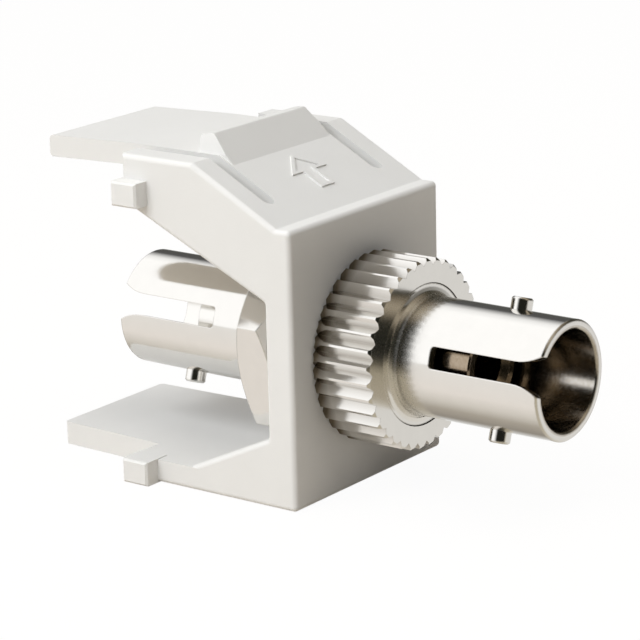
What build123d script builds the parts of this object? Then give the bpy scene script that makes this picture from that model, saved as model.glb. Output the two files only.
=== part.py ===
from build123d import *
import math
import os

# Snap-in fibre coupler: a moulded wall-plate housing that carries a straight-through bayonet
# adapter, clamped through its front plate by a hex flange behind and a knurled nut in front.
# The origin lies on the fibre axis, in the outer face of the front plate.
# -Y is the room side, +Y the cabling side and +Z is up. All lengths are millimetres.

# Driving sizes of the front plate and the walls
plate_width = 14.5
plate_height = 16.4
plate_thick = 1.9
wall_thick = 1.65
floor_thick = 1.4
boss_d = 11.5
boss_height = 0.9
edge_round = 0.3

# Driving sizes of the sloping roof and the latch arm
strip_depth = 1.0
roof_rise = 3.08
slope_end = 6.8
roof_thick = 1.3
arm_tip = 19.6
arm_drop = 0.22
arm_droop_start = 13.0
slot_width = 0.85
slot_start = 2.65

# Driving sizes of the catch wedge on the arm
wedge_toe = 5.85
wedge_run = 1.6
wedge_crown = 0.9
wedge_height = 1.15
wedge_heel_drop = 0.15
wedge_base_width = 9.2
wedge_top_width = 8.55
wedge_round = 0.2

# Driving sizes of the wings, the lugs and the tongue
wing_end = 11.95
window_top = 3.85
window_bottom = -4.15
wing_angle = 24.7
window_round = 0.25
wing_round = 0.15
lug_length = 1.85
lug_height = 1.45
lug_out = 1.05
lug_bevel = 0.12
upper_lug_drop = 1.4
tongue_tip = 19.6
tongue_root_width = 9.8
tongue_tip_width = 9.2
tip_round = 0.25

# Driving sizes of the adapter
adapter_turn = 18.0
barrel_d = 6.9
barrel_wall = 0.55
front_reach = 13.65
rear_reach = 15.85
cavity_depth = 8.65
shoulder_width = 0.65
thread_depth = 0.4
nut_clearance = 0.05
hole_clearance = 0.05
flange_flats = 11.0
flange_thick = 2.6
flange_turn = 2.0
flange_chamfer_angle = 30.0
spigot_d = 7.8
spigot_length = 3.55
rim_chamfer = 0.1

# Driving sizes of the key slots and the bayonet pins
key_width = 1.25
key_length = 7.1
key_lead = 1.65
key_flare = 0.5
pin_d = 1.24
pin_tip_d = 8.25
pin_setback = 3.85

# Driving sizes of the sleeve and its holders
sleeve_bore_d = 2.5
sleeve_wall = 0.35
sleeve_length = 11.4
sleeve_slit = 0.35
sleeve_clearance = 0.08
sleeve_end_play = 0.15
holder_d = 4.8
holder_setback = 5.1
ferrule_guide_clearance = 0.2
guide_lead = 0.35

# Driving sizes of the knurled nut
nut_d = 11.1
nut_thick = 4.0
knurl_count = 36
knurl_depth = 0.4
knurl_crest = 0.14
nut_front_chamfer = 0.15
nut_rear_chamfer = 0.2
shoulder_recess = 0.05
neck_round = 0.45

# Places that follow from the driving sizes
half_w = plate_width / 2
half_h = plate_height / 2
wall_in = half_w - wall_thick
roof_top = half_h + roof_rise
floor_top = -half_h + floor_thick
slope_angle = math.atan2(roof_rise, slope_end - strip_depth)
arm_half = wall_in - slot_width
flange_front = plate_thick + boss_height
flange_back = flange_front + flange_thick
barrel_r = barrel_d / 2
cavity_r = barrel_r - barrel_wall
core_r = barrel_r + shoulder_width
shank_r = core_r + thread_depth
wedge_ridge = wedge_toe + wedge_run
wedge_heel = wedge_ridge + wedge_crown
mid_plane = (rear_reach - front_reach) / 2
holder_r = holder_d / 2
sleeve_r = sleeve_bore_d / 2 + sleeve_wall
key_angle = 180 - adapter_turn
pin_angle = key_angle - 90
shoulder_y = shoulder_recess - nut_thick


def yz_face(points):
    """Flat face from (y, z) points, drawn in the plane x = 0."""
    return make_face(Plane.YZ * Polyline(*points, close=True))


def rounded(face, points, radius):
    """The (y, z) face with the corners nearest to the given points rounded."""
    corners = [face.vertices().sort_by_distance((0, y, z))[0] for y, z in points]
    return fillet(corners, radius)


def slab(face, x_low, x_high):
    """Solid between two x positions with the given side view."""
    return Pos(x_low, 0, 0) * extrude(face, amount=x_high - x_low, dir=(1, 0, 0))


def block(x, y, z):
    """Box from its (low, high) limits along each axis."""
    size = [x[1] - x[0], y[1] - y[0], z[1] - z[0]]
    place = [(x[0] + x[1]) / 2, (y[0] + y[1]) / 2, (z[0] + z[1]) / 2]
    return Pos(*place) * Box(*size)


def turned(points):
    """Body of revolution about the fibre axis from (radius, y) points."""
    outline = Polyline(*[(r, y) for r, y in points], close=True)
    return revolve(make_face(outline), Axis.Y, 360)


def rod(radius, y_low, y_high):
    """Cylinder on the fibre axis."""
    return Pos(0, (y_low + y_high) / 2, 0) * Rot(90, 0, 0) * Cylinder(radius, y_high - y_low)


def around_axis(angle):
    """Location that turns local +X to the given angle from +X towards +Z, about the fibre axis."""
    return Rot(0, -angle, 0)


def both_sides(solid):
    """The solid together with its mirror image across x = 0."""
    return solid + mirror(solid, about=Plane.YZ)


def side_wall():
    """One side wall: plate edge, slanted upper and lower wings round an open window."""
    rise = math.tan(math.radians(wing_angle))
    upper_end = window_top + (wing_end - plate_thick) * rise
    lower_run = (window_bottom - floor_top) / rise
    points = [
        (0, -half_h),
        (wing_end, -half_h),
        (wing_end, floor_top),
        (plate_thick + lower_run, floor_top),
        (plate_thick, window_bottom),
        (plate_thick, window_top),
        (wing_end, upper_end),
        (wing_end, roof_top),
        (slope_end, roof_top),
        (strip_depth, half_h),
        (0, half_h),
    ]
    side = rounded(yz_face(points), points[4:6], window_round)
    side = rounded(side, [points[6]], wing_round)
    return slab(side, wall_in, half_w)


def roof():
    """Sloping roof that runs on as the flat latch arm, cut free of the walls by two slots."""
    drop = roof_thick / math.cos(slope_angle)
    bend = roof_thick * math.tan(slope_angle / 2)
    points = [
        (0, half_h),
        (strip_depth, half_h),
        (slope_end, roof_top),
        (arm_droop_start, roof_top),
        (arm_tip, roof_top - arm_drop),
        (arm_tip, roof_top - arm_drop - roof_thick),
        (arm_droop_start, roof_top - roof_thick),
        (slope_end + bend, roof_top - roof_thick),
        (strip_depth, half_h - drop),
        (0, half_h - drop),
    ]
    side = rounded(yz_face(points), points[4:6], tip_round)
    sheet = slab(side, -wall_in, wall_in)
    slot_mid = arm_half + slot_width / 2
    slot = block((arm_half, wall_in), (slot_start + slot_width / 2, arm_tip + 1), (0, roof_top + 1))
    slot += Pos(slot_mid, slot_start + slot_width / 2, half_h) * Cylinder(slot_width / 2, plate_height)
    return sheet - both_sides(slot)


def catch_wedge():
    """Catch on the arm: ramp to a ridge, short crown and square heel, with drafted sides."""
    foot = roof_top - roof_thick / 2
    crown = roof_top + wedge_height
    slope = math.tan(slope_angle)
    side = [
        (wedge_toe, roof_top - (slope_end - wedge_toe) * slope),
        (wedge_ridge, crown),
        (wedge_heel, crown - wedge_heel_drop),
        (wedge_heel, foot),
        (wedge_toe + 0.5 * wedge_height, foot),
    ]
    front = Polyline(
        (-wedge_base_width / 2, roof_top),
        (-wedge_top_width / 2, crown),
        (wedge_top_width / 2, crown),
        (wedge_base_width / 2, roof_top),
        (wedge_base_width / 2, foot),
        (-wedge_base_width / 2, foot),
        close=True,
    )
    prism = slab(yz_face(side), -half_w, half_w)
    envelope = Pos(0, wedge_heel, 0) * extrude(
        make_face(Plane.XZ * front), amount=wedge_heel, dir=(0, -1, 0)
    )
    crown_edges = (prism & envelope).edges().filter_by(Axis.X).sort_by(Axis.Z)[-2:]
    return fillet(crown_edges, wedge_round)


def tongue():
    """Floor between the walls and the narrower tongue that runs on behind it."""
    floor = block((-wall_in, wall_in), (0, wing_end), (-half_h, floor_top))
    plan = Polyline(
        (-tongue_root_width / 2, wing_end),
        (-tongue_tip_width / 2, tongue_tip),
        (tongue_tip_width / 2, tongue_tip),
        (tongue_root_width / 2, wing_end),
        close=True,
    )
    blade = Pos(0, 0, -half_h) * extrude(make_face(plan), amount=floor_thick)
    tips = blade.edges().filter_by(Axis.Z).group_by(Axis.Y)[-1]
    return floor + fillet(tips, tip_round)


def lugs():
    """Four small square lugs with bevelled ends, at the ends of the wings."""
    x = (half_w - wall_thick / 2, half_w + lug_out)
    y = (wing_end - lug_length, wing_end)
    upper_top = roof_top - upper_lug_drop
    upper = block(x, y, (upper_top - lug_height, upper_top))
    lower = block(x, y, (-half_h, -half_h + lug_height))
    pair = [chamfer(lug.faces().sort_by(Axis.X)[-1].edges(), lug_bevel) for lug in (upper, lower)]
    return both_sides(pair[0] + pair[1])


def keystone_housing():
    """The whole moulding, in one piece with its latch arm."""
    body = block((-half_w, half_w), (0, plate_thick), (-half_h, half_h))
    body += rod(boss_d / 2, 0, flange_front)
    body += both_sides(side_wall())
    body += roof() + catch_wedge() + tongue()
    body -= rod(shank_r + hole_clearance, -1, flange_front + 1)
    rim = body.faces().sort_by(Axis.Y)[0].outer_wire().edges()
    sides = body.edges().filter_by(lambda edge: all(abs(v.X) > half_w - 1e-6 for v in edge.vertices()))
    top = sides.filter_by(lambda edge: all(v.Z > half_h - 1e-6 for v in edge.vertices()))
    bottom = sides.filter_by(lambda edge: all(v.Z < -half_h + 1e-6 for v in edge.vertices()))
    return fillet(rim + top + bottom, edge_round) + lugs()


def key_slot(barrel_end, direction):
    """Cutter for the key slot: parallel sides that flare in arcs at the barrel's mouth."""
    half = key_width / 2
    radius = (key_lead**2 + key_flare**2) / (2 * key_flare)
    half_angle = math.asin(key_lead / radius) / 2
    mid_in = radius * math.sin(half_angle)
    mid_out = radius * (1 - math.cos(half_angle))
    deep = barrel_end - direction * key_length
    lead = barrel_end - direction * key_lead
    edge = []
    for side in (1, -1):
        straight = Line((side * half, deep), (side * half, lead))
        arc = ThreePointArc(
            (side * half, lead),
            (side * (half + mid_out), lead + direction * mid_in),
            (side * (half + key_flare), barrel_end),
        )
        out = Line(
            (side * (half + key_flare), barrel_end), (side * (half + key_flare), barrel_end + direction)
        )
        edge += [straight, arc, out]
    floor = Line((-half, deep), (half, deep))
    mouth = Line(
        (-half - key_flare, barrel_end + direction), (half + key_flare, barrel_end + direction)
    )
    cutter = extrude(make_face([*edge, floor, mouth]), amount=barrel_d)
    ends = cutter.edges().filter_by(Axis.Z).group_by(Axis.Y)
    cutter = fillet(ends[0 if direction > 0 else -1], key_width / 6)
    return around_axis(key_angle - 90) * cutter


def pin_holes(y, radius):
    """Cutter for the two bayonet pin holes across a barrel."""
    across = Rot(0, 90, 0) * Cylinder(radius, 4 * barrel_d)
    return Pos(0, y, 0) * around_axis(pin_angle) * across


def hex_flange():
    """Hex flange with both ends chamfered like a nut."""
    prism = extrude(
        make_face(Plane.XZ * RegularPolygon(flange_flats / 2, 6, major_radius=False)),
        amount=flange_thick,
        dir=(0, 1, 0),
    )
    corner_r = flange_flats / math.sqrt(3)
    land_r = 0.96 * flange_flats / 2
    fall = (corner_r - land_r) * math.tan(math.radians(flange_chamfer_angle))
    cone = turned(
        [
            (0, 0),
            (land_r, 0),
            (corner_r, fall),
            (corner_r, flange_thick - fall),
            (land_r, flange_thick),
            (0, flange_thick),
        ]
    )
    return Pos(0, flange_front, 0) * (around_axis(key_angle + flange_turn) * prism & cone)


def adapter_body():
    """Front barrel, threaded shank and hex flange, turned in one piece."""
    spigot_floor = flange_back - spigot_length
    neck = [math.radians(angle) for angle in (0, 30, 60, 90)]
    outer = turned(
        [
            (0, -front_reach),
            (barrel_r - rim_chamfer, -front_reach),
            (barrel_r, -front_reach + rim_chamfer),
            *[
                (barrel_r + neck_round * (1 - math.cos(a)), shoulder_y - neck_round * (1 - math.sin(a)))
                for a in neck
            ],
            (core_r, shoulder_y),
            (core_r, nut_clearance),
            (shank_r, nut_clearance),
            (shank_r, flange_front + flange_thick / 2),
            (0, flange_front + flange_thick / 2),
        ]
    )
    body = outer + hex_flange()
    body -= turned(
        [
            (0, -front_reach - 1),
            (cavity_r + rim_chamfer + 1, -front_reach - 1),
            (cavity_r, -front_reach + rim_chamfer),
            (cavity_r, -front_reach + cavity_depth),
            (0, -front_reach + cavity_depth),
        ]
    )
    body -= rod(holder_r, -front_reach, flange_back + 1)
    body -= rod(spigot_d / 2, spigot_floor, flange_back + 1)
    body -= key_slot(-front_reach, -1)
    return body - pin_holes(pin_setback - front_reach, pin_d / 2)


def rear_barrel():
    """Rear barrel, with the plain spigot that is pressed into the hex flange."""
    spigot_floor = flange_back - spigot_length
    body = turned(
        [
            (holder_r, spigot_floor),
            (spigot_d / 2, spigot_floor),
            (spigot_d / 2, flange_back),
            (barrel_r, flange_back),
            (barrel_r, rear_reach - rim_chamfer),
            (barrel_r - rim_chamfer, rear_reach),
            (cavity_r + rim_chamfer, rear_reach),
            (cavity_r, rear_reach - rim_chamfer),
            (cavity_r, rear_reach - cavity_depth),
            (holder_r, rear_reach - cavity_depth),
        ]
    )
    body -= key_slot(rear_reach, 1)
    return body - pin_holes(rear_reach - pin_setback, pin_d / 2)


def bayonet_pin(y, side):
    """One bayonet pin, from the barrel's inner wall to its free, chamfered end."""
    inner = cavity_r + barrel_wall / 6
    outer = pin_tip_d / 2
    pin = Pos(0, 0, (inner + outer) / 2) * Cylinder(pin_d / 2, outer - inner)
    pin = chamfer(pin.edges().sort_by(Axis.Z)[-1], rim_chamfer)
    aim = around_axis(pin_angle + (0 if side > 0 else 180)) * Rot(0, 90, 0)
    return Pos(0, y, 0) * aim * pin


def sleeve_holder(direction):
    """Half of the sleeve holder: sleeve chamber at the middle, ferrule guide at the tip."""
    tip = (rear_reach if direction > 0 else front_reach) - holder_setback
    tip = direction * tip
    chamber_r = sleeve_r + sleeve_clearance
    guide_r = sleeve_bore_d / 2 + ferrule_guide_clearance
    chamber_end = mid_plane + direction * (sleeve_length / 2 + sleeve_end_play)
    return turned(
        [
            (chamber_r, mid_plane),
            (holder_r, mid_plane),
            (holder_r, tip - direction * rim_chamfer),
            (holder_r - rim_chamfer, tip),
            (guide_r + guide_lead, tip),
            (guide_r, tip - direction * guide_lead),
            (guide_r, chamber_end),
            (chamber_r, chamber_end),
        ]
    )


def alignment_sleeve():
    """Split sleeve that lines the two ferrules up."""
    low = mid_plane - sleeve_length / 2
    high = mid_plane + sleeve_length / 2
    tube = rod(sleeve_r, low, high) - rod(sleeve_bore_d / 2, low - 1, high + 1)
    slit = block((-sleeve_slit / 2, sleeve_slit / 2), (low - 1, high + 1), (0, holder_d))
    return tube - slit


def knurled_nut():
    """Round nut with V-shaped knurl ridges along its whole length, and both ends chamfered."""
    pitch = 2 * math.pi / knurl_count
    crest_r = nut_d / 2
    valley_r = crest_r - knurl_depth
    half_crest = knurl_crest / nut_d
    outline = []
    for i in range(knurl_count):
        valley = i * pitch
        crest = valley + pitch / 2
        outline.append((valley_r * math.cos(valley), valley_r * math.sin(valley)))
        for angle in (crest - half_crest, crest + half_crest):
            outline.append((crest_r * math.cos(angle), crest_r * math.sin(angle)))
    prism = Rot(90, 0, 0) * extrude(make_face(Polyline(*outline, close=True)), amount=nut_thick)
    bore_r = core_r + nut_clearance
    ring = turned(
        [
            (bore_r, -nut_thick),
            (crest_r - nut_front_chamfer, -nut_thick),
            (crest_r, -nut_thick + nut_front_chamfer),
            (crest_r, -nut_rear_chamfer),
            (crest_r - nut_rear_chamfer, 0),
            (bore_r, 0),
        ]
    )
    return prism & ring


pieces = {
    "keystone_housing": keystone_housing(),
    "adapter_body": adapter_body(),
    "rear_barrel": rear_barrel(),
    "knurled_nut": knurled_nut(),
    "front_sleeve_holder": sleeve_holder(-1),
    "rear_sleeve_holder": sleeve_holder(1),
    "alignment_sleeve": alignment_sleeve(),
    "front_upper_pin": bayonet_pin(pin_setback - front_reach, 1),
    "front_lower_pin": bayonet_pin(pin_setback - front_reach, -1),
    "rear_upper_pin": bayonet_pin(rear_reach - pin_setback, 1),
    "rear_lower_pin": bayonet_pin(rear_reach - pin_setback, -1),
}

os.makedirs("parts", exist_ok=True)
for name, solid in pieces.items():
    export_step(solid, f"parts/{name}.step")
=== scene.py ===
# %% [markdown]
# # A snap-in fibre coupler in a photo studio
#
# The real object is a white moulded wall-plate insert that carries a bright nickel-plated
# straight-through adapter. Its exact solids were made beforehand, so this lesson dresses them:
# it loads the solids, adds the one small raised sign, makes three finishes from nodes, and lights
# everything so that the matte plastic and the mirror-bright metal both read well.

# %% Load the solids
import math

import bmesh
import bpy
from mathutils import Matrix, Vector


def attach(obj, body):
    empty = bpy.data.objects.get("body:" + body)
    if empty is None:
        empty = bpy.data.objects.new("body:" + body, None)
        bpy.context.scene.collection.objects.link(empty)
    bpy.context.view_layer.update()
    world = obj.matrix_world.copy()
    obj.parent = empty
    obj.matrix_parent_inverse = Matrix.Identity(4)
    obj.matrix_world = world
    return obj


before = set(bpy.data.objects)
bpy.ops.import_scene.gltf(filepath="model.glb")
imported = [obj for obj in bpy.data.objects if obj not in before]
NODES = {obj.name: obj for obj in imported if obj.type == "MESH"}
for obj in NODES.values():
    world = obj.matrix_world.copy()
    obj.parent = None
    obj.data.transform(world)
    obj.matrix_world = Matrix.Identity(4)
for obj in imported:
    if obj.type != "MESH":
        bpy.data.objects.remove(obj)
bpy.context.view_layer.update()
MM = 0.001
print("pieces:", sorted(NODES))

# %% [markdown]
# The slope in front of the catch has a small raised outline on the real moulding. A bare arrow
# that points to the latch arm goes there. It is drawn flat as one closed outline, given a wall
# with an inset, raised a tenth of a millimetre, and tilted onto the slope. It reaches as far into
# the moulding, so that no gap can show. The slope's own numbers come from the housing: it starts
# 1 mm behind the front plate's face and climbs 3.08 mm over the next 5.8 mm.

# %% Raised arrow on the slope
SLOPE_START = Vector((0, 1.0 * MM, 8.2 * MM))
SLOPE_RISE = 3.08
SLOPE_RUN = 5.8
SLOPE_TILT = math.atan2(SLOPE_RISE, SLOPE_RUN)
SIGN_UP_SLOPE = 3.25 * MM
SIGN_RISE = 0.1 * MM
SIGN_LINE = 0.2 * MM
ARROW = [(-0.6, -1.4), (0.6, -1.4), (0.6, 0.1), (1.6, 0.1), (0, 1.6), (-1.6, 0.1), (-0.6, 0.1)]

sign_mesh = bpy.data.meshes.new("latch_arrow")
bm = bmesh.new()
outline = [bm.verts.new((x * MM, y * MM, 0)) for x, y in ARROW]
face = bm.faces.new(outline)
bm.normal_update()
rim = bmesh.ops.inset_region(
    bm, faces=[face], thickness=SIGN_LINE, use_boundary=True, use_even_offset=True
)
bmesh.ops.delete(bm, geom=[face], context="FACES_ONLY")
top = bmesh.ops.extrude_face_region(bm, geom=rim["faces"])
raised = [v for v in top["geom"] if isinstance(v, bmesh.types.BMVert)]
bmesh.ops.translate(bm, verts=raised, vec=(0, 0, SIGN_RISE * 2))
bmesh.ops.translate(bm, verts=list(bm.verts), vec=(0, SIGN_UP_SLOPE, -SIGN_RISE))
place = Matrix.Translation(SLOPE_START) @ Matrix.Rotation(SLOPE_TILT, 4, "X")
bmesh.ops.transform(bm, matrix=place, verts=list(bm.verts))
bmesh.ops.recalc_face_normals(bm, faces=list(bm.faces))
bm.to_mesh(sign_mesh)
bm.free()
latch_arrow = bpy.data.objects.new("latch_arrow", sign_mesh)
bpy.context.scene.collection.objects.link(latch_arrow)
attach(latch_arrow, "coupler")
print("arrow faces:", len(sign_mesh.polygons))

# %% [markdown]
# A finish is a small network of nodes. This helper makes a material with its Principled shader
# and hands back the nodes, so that each finish below only adds what is its own. The small helpers
# after it each add one node and return its output. All patterns use Object coordinates in metres,
# so their scales are in bumps per metre.

# %% Helper for finishes
def new_finish(name):
    """Material with a Principled shader: (material, nodes, links, shader, object coordinates)."""
    material = bpy.data.materials.new(name)
    material.use_nodes = True
    nodes, links = material.node_tree.nodes, material.node_tree.links
    shader = nodes["Principled BSDF"]
    where = nodes.new("ShaderNodeTexCoord").outputs["Object"]
    return material, nodes, links, shader, where


def feed(links, socket, value):
    """Links an output to a socket, or sets the socket to a number or a colour."""
    if isinstance(value, bpy.types.NodeSocket):
        links.new(value, socket)
    elif isinstance(value, tuple):
        socket.default_value = (*value, 1)
    else:
        socket.default_value = value


def maths(nodes, links, operation, *values):
    """Result of one Math node on outputs or numbers."""
    node = nodes.new("ShaderNodeMath")
    node.operation = operation
    for socket, value in zip(node.inputs, values):
        feed(links, socket, value)
    return node.outputs["Value"]


def noise(nodes, links, where, scale, detail=3.0, roughness=0.6, stretch=(1, 1, 1)):
    """Noise factor on the given coordinates, with its own stretch along each axis."""
    mapping = nodes.new("ShaderNodeMapping")
    mapping.inputs["Scale"].default_value = stretch
    links.new(where, mapping.inputs["Vector"])
    texture = nodes.new("ShaderNodeTexNoise")
    texture.inputs["Scale"].default_value = scale
    texture.inputs["Detail"].default_value = detail
    texture.inputs["Roughness"].default_value = roughness
    links.new(mapping.outputs["Vector"], texture.inputs["Vector"])
    return texture.outputs["Fac"]


def remap(nodes, links, value, start, end, low=0.0, high=1.0):
    """Maps the range start to end onto the range low to high, and stops at both ends."""
    mapped = nodes.new("ShaderNodeMapRange")
    links.new(value, mapped.inputs["Value"])
    for socket, bound in zip(("From Min", "From Max", "To Min", "To Max"), (start, end, low, high)):
        mapped.inputs[socket].default_value = bound
    return mapped.outputs["Result"]


def spread(nodes, links, value, low, high):
    """Maps a 0 to 1 value to the range low to high."""
    return remap(nodes, links, value, 0.0, 1.0, low, high)


def mix_colour(nodes, links, factor, first, second):
    """Colour that goes from the first to the second with the factor."""
    mixed = nodes.new("ShaderNodeMix")
    mixed.data_type = "RGBA"
    links.new(factor, mixed.inputs["Factor"])
    feed(links, mixed.inputs["A"], first)
    feed(links, mixed.inputs["B"], second)
    return mixed.outputs["Result"]


def mix_value(nodes, links, factor, first, second):
    """Value that goes from the first output to the second with the factor."""
    mixed = nodes.new("ShaderNodeMix")
    links.new(factor, mixed.inputs["Factor"])
    links.new(first, mixed.inputs["A"])
    links.new(second, mixed.inputs["B"])
    return mixed.outputs["Result"]


def bump(nodes, links, height, strength, distance, onto=None):
    """Bump normal from a height, optionally on top of another normal."""
    relief = nodes.new("ShaderNodeBump")
    relief.inputs["Strength"].default_value = strength
    relief.inputs["Distance"].default_value = distance
    links.new(height, relief.inputs["Height"])
    if onto is not None:
        links.new(onto, relief.inputs["Normal"])
    return relief.outputs["Normal"]


# %% [markdown]
# The moulding is matte ivory-white plastic from a finely spark-eroded mould. Two noises make it:
# a coarse one that shifts the colour by a hair, and a very fine one whose bumps are about a tenth
# of a millimetre apart, which breaks the highlight into a soft sheen.

# %% Moulded plastic
PLASTIC_DARK = (0.775, 0.768, 0.75)
PLASTIC_LIGHT = (0.805, 0.8, 0.785)
PLASTIC_IOR = 1.5
SPARK_SCALE = 9000
SPARK_DEPTH = 0.02 * MM
SHADE_SCALE = 350

moulded, nodes, links, shader, where = new_finish("ivory_moulding")
grain = noise(nodes, links, where, SPARK_SCALE, detail=2.0)
shade = noise(nodes, links, where, SHADE_SCALE, detail=4.0)
links.new(mix_colour(nodes, links, shade, PLASTIC_DARK, PLASTIC_LIGHT), shader.inputs["Base Color"])
links.new(spread(nodes, links, grain, 0.42, 0.6), shader.inputs["Roughness"])
links.new(bump(nodes, links, grain, 0.25, SPARK_DEPTH), shader.inputs["Normal"])
shader.inputs["IOR"].default_value = PLASTIC_IOR

# %% [markdown]
# The adapter is brass under bright nickel. Nickel is a warm, slightly dark mirror. Turning leaves
# very fine rings round the axis, so the noise is stretched: it changes quickly along Y and hardly
# at all across it. A second, even noise stands for the plating's faint cloudiness. Two masks make
# it less perfect. Within a given distance of the axis lie the bores, which are made by drilling
# and hardly polished, so the plating there is rougher and has a coarse grain; it is also painted
# darker and browner there, as painted shade inside the bores. Behind the front barrel's neck it
# is scuffed where the nut is tightened. A Bevel node rounds the sharp edges by about a tenth of a
# millimetre, so that they catch the light. The nut has one mask more: painted brown shade in the
# knurl's grooves and where its ridges end at the plate.

# %% Nickel plating
BORE_RADIUS = 3.1 * MM
SCUFF_START = -6.4 * MM
SCUFF_FULL = -5.2 * MM
SCUFF_STOP = -4.02 * MM
KNURL_VALLEY = 5.15 * MM
KNURL_CREST = 5.55 * MM
PLATE_SHADE = -1.1 * MM
GROOVE_SHADE = 0.35
KNURL_SHADE = (0.22, 0.18, 0.13)
RING_SCALE = 6000
RING_DEPTH = 0.004 * MM
CLOUD_SCALE = 1200
CLOUD_DEPTH = 0.01 * MM
GRIT_SCALE = 5000
CLOUDED = 0.93
NO_BORE_SHADE = (1, 1, 1)
BORE_SHADE_TINT = (0.5, 0.44, 0.36)


def knurl_shade_mask(nodes, links, axis_distance, depth, surface_normal):
    """Painted shade from 0 to 1 on the knurl's sides, from the distance from the axis and the depth
    Y.
    """
    groove = remap(nodes, links, axis_distance, KNURL_VALLEY, KNURL_CREST, GROOVE_SHADE, 0.0)
    rear_end = remap(nodes, links, depth, PLATE_SHADE, PLATE_SHADE / 4)
    shade_amount = maths(nodes, links, "MAXIMUM", groove, rear_end)
    parts_of_normal = nodes.new("ShaderNodeSeparateXYZ")
    links.new(surface_normal, parts_of_normal.inputs["Vector"])
    steepness = maths(nodes, links, "ABSOLUTE", parts_of_normal.outputs["Y"])
    on_side = maths(nodes, links, "LESS_THAN", steepness, 0.5)
    return maths(nodes, links, "MULTIPLY", shade_amount, on_side)


def times(colour, other):
    """Product of two colours."""
    return tuple(a * b for a, b in zip(colour, other))


def nickel_finish(name, colour, rough_low, rough_high, edge_radius, bore_shade=BORE_SHADE_TINT, knurled=False):
    """Bright plating over turned brass, with rings round the Y axis and painted shade in the bores.
    """
    material, nodes, links, shader, where = new_finish(name)
    shader.inputs["Metallic"].default_value = 1.0
    rings = noise(nodes, links, where, RING_SCALE, detail=2.0, stretch=(0.02, 1, 0.02))
    cloud = noise(nodes, links, where, CLOUD_SCALE, detail=5.0)
    grit = noise(nodes, links, where, GRIT_SCALE, detail=4.0, roughness=0.7)

    across = nodes.new("ShaderNodeVectorMath")
    across.operation = "MULTIPLY"
    across.inputs[1].default_value = (1, 0, 1)
    links.new(where, across.inputs[0])
    distance = nodes.new("ShaderNodeVectorMath")
    distance.operation = "LENGTH"
    links.new(across.outputs["Vector"], distance.inputs[0])
    axis_distance = distance.outputs["Value"]
    bored = maths(nodes, links, "LESS_THAN", axis_distance, BORE_RADIUS)
    along = nodes.new("ShaderNodeSeparateXYZ")
    links.new(where, along.inputs["Vector"])
    depth = along.outputs["Y"]

    plated = mix_colour(nodes, links, cloud, times(colour, (CLOUDED,) * 3), colour)
    # Painted shade: inside the bores the plating is darker and browner, mottled by the grain noise.
    shaded_bore_colour = mix_colour(nodes, links, grit, times(colour, bore_shade), colour)
    skin = mix_colour(nodes, links, bored, plated, shaded_bore_colour)
    # Painted shade on the nut: brown in the knurl's grooves and where its ridges end at the plate.
    if knurled:
        surface_normal = nodes.new("ShaderNodeTexCoord").outputs["Normal"]
        painted_knurl_shade = knurl_shade_mask(nodes, links, axis_distance, depth, surface_normal)
        skin = mix_colour(nodes, links, painted_knurl_shade, skin, KNURL_SHADE)
    links.new(skin, shader.inputs["Base Color"])

    behind_neck = remap(nodes, links, depth, SCUFF_START, SCUFF_FULL)
    before_nut = maths(nodes, links, "LESS_THAN", depth, SCUFF_STOP)
    scuffed = maths(nodes, links, "MULTIPLY", behind_neck, before_nut)
    polished = spread(nodes, links, cloud, rough_low, rough_high)
    worn = spread(nodes, links, grit, 0.12, 0.4)
    outside = mix_value(nodes, links, scuffed, polished, worn)
    inside = spread(nodes, links, grit, 0.1, 0.26)
    links.new(mix_value(nodes, links, bored, outside, inside), shader.inputs["Roughness"])

    edge = nodes.new("ShaderNodeBevel")
    edge.samples = 4
    edge.inputs["Radius"].default_value = edge_radius
    fine = bump(nodes, links, rings, 0.2, RING_DEPTH, edge.outputs["Normal"])
    links.new(bump(nodes, links, cloud, 0.12, CLOUD_DEPTH, fine), shader.inputs["Normal"])
    return material


NICKEL = (0.86, 0.845, 0.815)
bright_nickel = nickel_finish("bright_nickel", NICKEL, 0.07, 0.14, 0.12 * MM)
clean_nickel = nickel_finish("clean_nickel", NICKEL, 0.07, 0.14, 0.1 * MM, bore_shade=NO_BORE_SHADE)
knurl_nickel = nickel_finish("knurl_nickel", NICKEL, 0.1, 0.2, 0.03 * MM, knurled=True)
bare_bronze = nickel_finish("spring_bronze", (0.72, 0.56, 0.34), 0.22, 0.36, 0.05 * MM)
# The front sleeve holder is given a darker brown: painted shade that stands for the shade in the
# front barrel's slot.
painted_shade_bronze = nickel_finish("painted_shade_bronze", (0.5, 0.42, 0.33), 0.22, 0.4, 0.05 * MM)

# %% [markdown]
# Each solid keeps its shape and only takes its finish.

# %% Give the finishes to the pieces
FINISH = {
    "keystone_housing": moulded,
    "knurled_nut": knurl_nickel,
    "alignment_sleeve": bare_bronze,
    "front_sleeve_holder": painted_shade_bronze,
    "rear_sleeve_holder": clean_nickel,
    "rear_barrel": clean_nickel,
}
for name, node in NODES.items():
    node.data.materials.clear()
    node.data.materials.append(FINISH.get(name, bright_nickel))
latch_arrow.data.materials.append(moulded)
print("finishes given to", len(NODES) + 1, "pieces")

# %% [markdown]
# The studio has a pale floor at the coupler's base. It is warm matte paper that the lamps light
# and the coupler shades, and it throws back the warm light that fills the front plate and the
# housing's underside. A white glow is mixed over it for the camera, so that the ground looks
# white and keeps a faint shadow. The mirror-bright metal doesn't see the floor: the world's
# panels give it the ground as well.

# %% Floor
FLOOR_Z = -8.22 * MM
FLOOR_REACH = 0.6
PAPER = (0.66, 0.60, 0.52, 1)
WHITE = (1, 1, 1, 1)
GLOW = 1.03
CAMERA_SHARE = 0.93

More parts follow.
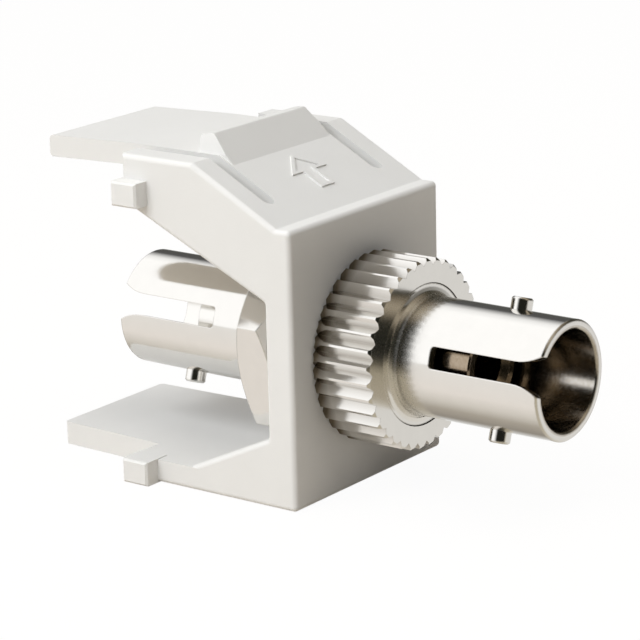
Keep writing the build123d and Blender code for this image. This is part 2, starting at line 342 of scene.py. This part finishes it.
floor_mesh = bpy.data.meshes.new("studio_floor")
bm = bmesh.new()
bmesh.ops.create_grid(bm, x_segments=1, y_segments=1, size=FLOOR_REACH)
bmesh.ops.translate(bm, verts=list(bm.verts), vec=(0, 0, FLOOR_Z))
bm.to_mesh(floor_mesh)
bm.free()
studio_floor = bpy.data.objects.new("studio_floor", floor_mesh)
bpy.context.scene.collection.objects.link(studio_floor)

floor_paint = bpy.data.materials.new("floor_paint")
floor_paint.use_nodes = True
nodes, links = floor_paint.node_tree.nodes, floor_paint.node_tree.links
nodes.clear()
paper = nodes.new("ShaderNodeBsdfDiffuse")
paper.inputs["Color"].default_value = PAPER
glow = nodes.new("ShaderNodeEmission")
glow.inputs["Color"].default_value = WHITE
glow.inputs["Strength"].default_value = GLOW
seen = nodes.new("ShaderNodeLightPath").outputs["Is Camera Ray"]
blend = nodes.new("ShaderNodeMixShader")
links.new(maths(nodes, links, "MULTIPLY", seen, CAMERA_SHARE), blend.inputs["Fac"])
links.new(paper.outputs["BSDF"], blend.inputs[1])
links.new(glow.outputs["Emission"], blend.inputs[2])
out = nodes.new("ShaderNodeOutputMaterial")
links.new(blend.outputs["Shader"], out.inputs["Surface"])
floor_mesh.materials.append(floor_paint)
studio_floor.visible_glossy = False

# %% [markdown]
# Bright metal shows whatever stands round it, so the world is the metal's real paint. The camera
# sees plain white. A mirror ray sees a studio of long soft panels laid along the coupler: the
# angle round the Y axis picks a white panel, a warm card or a dark gap. There are two such
# rounds, one towards the cabling side and one towards the room side, where the photographer
# stands in the dark, and the ray's Y part blends them. The world's soft light on the plastic comes
# mostly from the cabling side. A mirror ray that left a matte surface sees this light too, not
# the panels, so that the metal doesn't brighten the plastic round it.

# %% World with studio panels
world = bpy.data.worlds.new("studio")
bpy.context.scene.world = world
world.use_nodes = True
nodes, links = world.node_tree.nodes, world.node_tree.links
nodes.clear()
direction = nodes.new("ShaderNodeTexCoord").outputs["Generated"]
parts = nodes.new("ShaderNodeSeparateXYZ")
links.new(direction, parts.inputs["Vector"])
angle = maths(nodes, links, "ARCTAN2", parts.outputs["Z"], parts.outputs["X"])
turn = remap(nodes, links, angle, -math.pi, math.pi)


def panel_round(panels):
    """Ramp of (angle, tone) panels; the angle is in degrees from +X towards +Z, -180 to 180."""
    ramp = nodes.new("ShaderNodeValToRGB")
    links.new(turn, ramp.inputs["Fac"])
    elements = ramp.color_ramp.elements
    elements[0].color = (*panels[0][1], 1)
    elements[-1].color = (*panels[-1][1], 1)
    for degrees, tone in panels[1:-1]:
        elements.new((degrees + 180) / 360).color = (*tone, 1)
    return ramp.outputs["Color"]


# Straight down, from about -112 to -62 degrees, this round is the ground in the coupler's shadow: a
# painted shadow that the metal reflects.
CABLING_SIDE = [
    (-180, (0.90, 0.88, 0.85)),
    (-135, (0.90, 0.85, 0.80)),
    (-112, (0.72, 0.68, 0.62)),
    (-90, (0.45, 0.41, 0.35)),
    (-62, (0.32, 0.29, 0.25)),
    (-34, (0.85, 0.85, 0.84)),
    (-18, (0.90, 0.90, 0.89)),
    (0, (0.09, 0.09, 0.08)),
    (28, (0.09, 0.09, 0.09)),
    (48, (1.00, 1.00, 1.00)),
    (62, (1.20, 1.20, 1.20)),
    (176, (1.20, 1.20, 1.20)),
    (180, (0.85, 0.84, 0.82)),
]
ROOM_SIDE = [
    (-180, (0.03, 0.03, 0.03)),
    (-166, (0.08, 0.07, 0.05)),
    (-150, (0.48, 0.43, 0.33)),
    (-85, (0.52, 0.47, 0.38)),
    (-45, (0.75, 0.72, 0.66)),
    (-15, (0.78, 0.77, 0.75)),
    (8, (0.12, 0.11, 0.09)),
    (30, (0.03, 0.03, 0.02)),
    (50, (0.22, 0.18, 0.13)),
    (76, (0.50, 0.44, 0.34)),
    (92, (0.34, 0.29, 0.22)),
    (108, (0.02, 0.02, 0.015)),
    (180, (0.015, 0.015, 0.012)),
]
FACING_START = 0.05
FACING_END = 0.4
FILL_TINT = (1.0, 0.97, 0.93, 1)
FILL_ROOM = 0.03
FILL_CABLING = 0.75

facing = remap(nodes, links, parts.outputs["Y"], FACING_START, FACING_END)
panels = mix_colour(nodes, links, facing, panel_round(ROOM_SIDE), panel_round(CABLING_SIDE))
path = nodes.new("ShaderNodeLightPath")
white = nodes.new("ShaderNodeBackground")
white.inputs["Color"].default_value = WHITE
fill = nodes.new("ShaderNodeBackground")
fill.inputs["Color"].default_value = FILL_TINT
links.new(spread(nodes, links, facing, FILL_ROOM, FILL_CABLING), fill.inputs["Strength"])
studio = nodes.new("ShaderNodeBackground")
links.new(panels, studio.inputs["Color"])
direct = maths(nodes, links, "LESS_THAN", path.outputs["Diffuse Depth"], 0.5)
reflected = maths(nodes, links, "MULTIPLY", path.outputs["Is Glossy Ray"], direct)
mirror = nodes.new("ShaderNodeMixShader")
links.new(reflected, mirror.inputs["Fac"])
links.new(fill.outputs["Background"], mirror.inputs[1])
links.new(studio.outputs["Background"], mirror.inputs[2])
final = nodes.new("ShaderNodeMixShader")
links.new(path.outputs["Is Camera Ray"], final.inputs["Fac"])
links.new(mirror.outputs["Shader"], final.inputs[1])
links.new(white.outputs["Background"], final.inputs[2])
out = nodes.new("ShaderNodeOutputWorld")
links.new(final.outputs["Shader"], out.inputs["Surface"])

# %% [markdown]
# Two large lamps light the plastic: one high on the left, which also reaches in under the latch
# arm, and one overhead. A weak warm one stands on the right, and a small card lies on the ground
# in front of the coupler and throws a little light up at the front plate. None of them shows in
# mirror rays, because the world's panels already are the metal's reflections.

# %% Lamps
def soft_lamp(name, position, aim, size, power, colour):
    """Square area lamp that looks at a point; metres and watts."""
    data = bpy.data.lights.new(name, "AREA")
    data.shape = "SQUARE"
    data.size = size
    data.energy = power
    data.color = colour
    lamp = bpy.data.objects.new(name, data)
    lamp.location = position
    look = Vector(aim) - Vector(position)
    lamp.rotation_euler = look.to_track_quat("-Z", "Y").to_euler()
    lamp.visible_glossy = False
    lamp.visible_camera = False
    bpy.context.scene.collection.objects.link(lamp)


CENTRE = (0, 0, 0)
OVER_PLATE = (0.018, -0.03, 0.1)
COOL = (0.94, 0.97, 1.0)
WARM = (1.0, 0.98, 0.94)
WARMER = (1.0, 0.94, 0.86)
WARMEST = (1.0, 0.92, 0.82)
soft_lamp("left_bank", (-0.30, 0.03, 0.27), CENTRE, 0.30, 1.3, COOL)
soft_lamp("top_bank", (-0.01, -0.08, 0.39), CENTRE, 0.30, 0.70, WARM)
soft_lamp("right_fill", (0.34, -0.14, 0.06), CENTRE, 0.20, 0.02, WARMEST)
soft_lamp("ground_card", (0.02, -0.032, -0.0079), OVER_PLATE, 0.04, 0.003, WARMER)
print("lamps:", sorted(lamp.name for lamp in bpy.data.lights))

# %% [markdown]
# The camera stands where the photographer's did: about 17 cm away, 16 degrees above the
# coupler and well round to its left front. Its place, turn and lens come from matching the front
# plate's corners and the barrel's circles.

# %% Camera
CAMERA_AZIMUTH = math.radians(-52.967)
CAMERA_HEIGHT = math.radians(15.859)
CAMERA_ROLL = math.radians(-1.430)
FOCAL_PIXELS = 2941.15
PHOTO_PIXELS = 640
SENSOR_WIDTH = 36
CAMERA_PLACE = Vector((-131.566, -95.817, 47.737)) * MM

ahead = Vector(
    (
        -math.sin(CAMERA_AZIMUTH) * math.cos(CAMERA_HEIGHT),
        math.cos(CAMERA_AZIMUTH) * math.cos(CAMERA_HEIGHT),
        -math.sin(CAMERA_HEIGHT),
    )
)
level = Vector((math.cos(CAMERA_AZIMUTH), math.sin(CAMERA_AZIMUTH), 0))
above = level.cross(ahead)
right = math.cos(CAMERA_ROLL) * level + math.sin(CAMERA_ROLL) * above
up = -math.sin(CAMERA_ROLL) * level + math.cos(CAMERA_ROLL) * above
camera_data = bpy.data.cameras.new("camera")
camera_data.lens = FOCAL_PIXELS / PHOTO_PIXELS * SENSOR_WIDTH
camera_data.sensor_width = SENSOR_WIDTH
camera_data.clip_start = 0.005
camera_data.clip_end = 5
camera = bpy.data.objects.new("camera", camera_data)
turned = Matrix((right, up, -ahead)).transposed().to_4x4()
camera.matrix_world = Matrix.Translation(CAMERA_PLACE) @ turned
bpy.context.scene.collection.objects.link(camera)
bpy.context.scene.camera = camera
bpy.context.scene.view_settings.view_transform = "Standard"
